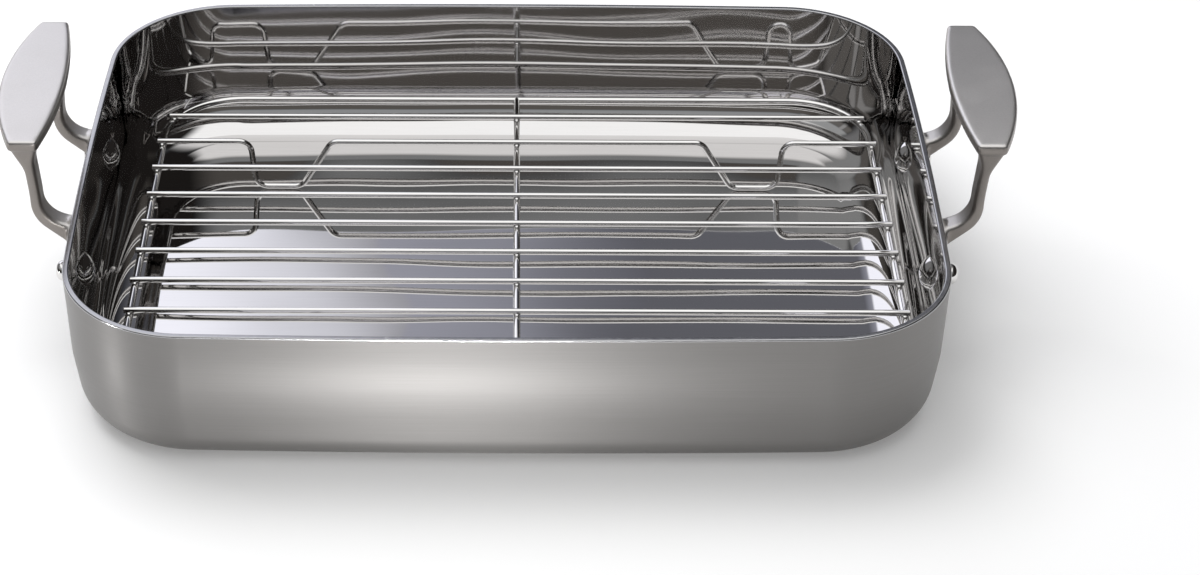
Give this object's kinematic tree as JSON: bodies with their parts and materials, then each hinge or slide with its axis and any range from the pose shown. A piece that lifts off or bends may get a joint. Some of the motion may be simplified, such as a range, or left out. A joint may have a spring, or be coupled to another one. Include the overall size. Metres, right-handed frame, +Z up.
{
  "type": "roasting pan with rack",
  "caption": "Rectangular roasting pan with rounded corners, two raised cast side handles, riveted, and a loose wire rack on bent wire feet.",
  "frame": {"origin": "centre of the pan's flat underside, at the level it rests on", "axes": "+X along the pan to the right handle, +Y to the rear long side, +Z up out of the pan"},
  "size_m": [0.4746, 0.302, 0.1145],
  "materials": {
    "pan_steel": "satin brushed outside, bright polished inside",
    "cast_steel": "fine bead-blasted satin",
    "rivet_steel": "polished",
    "rack_wire": "bright polished wire"
  },
  "bodies": {
    "pan": {"pan_body": "pan_steel", "left_handle": "cast_steel", "right_handle": "cast_steel", "left_front_rivet": "rivet_steel", "left_rear_rivet": "rivet_steel", "right_front_rivet": "rivet_steel", "right_rear_rivet": "rivet_steel"},
    "rack": {"rack_frame": "rack_wire", "rack_spine": "rack_wire", "front_foot_wire": "rack_wire", "rear_foot_wire": "rack_wire", "cross_wire_1": "rack_wire", "cross_wire_3": "rack_wire", "cross_wire_4": "rack_wire", "cross_wire_5": "rack_wire", "cross_wire_6": "rack_wire", "cross_wire_7": "rack_wire", "cross_wire_8": "rack_wire", "cross_wire_10": "rack_wire"}
  },
  "joints": [
    {"name": "rack_lift", "type": "slide", "parent": "pan", "child": "rack", "axis": [0, 0, 1], "range_m": [0, 0.12]}
  ]
}
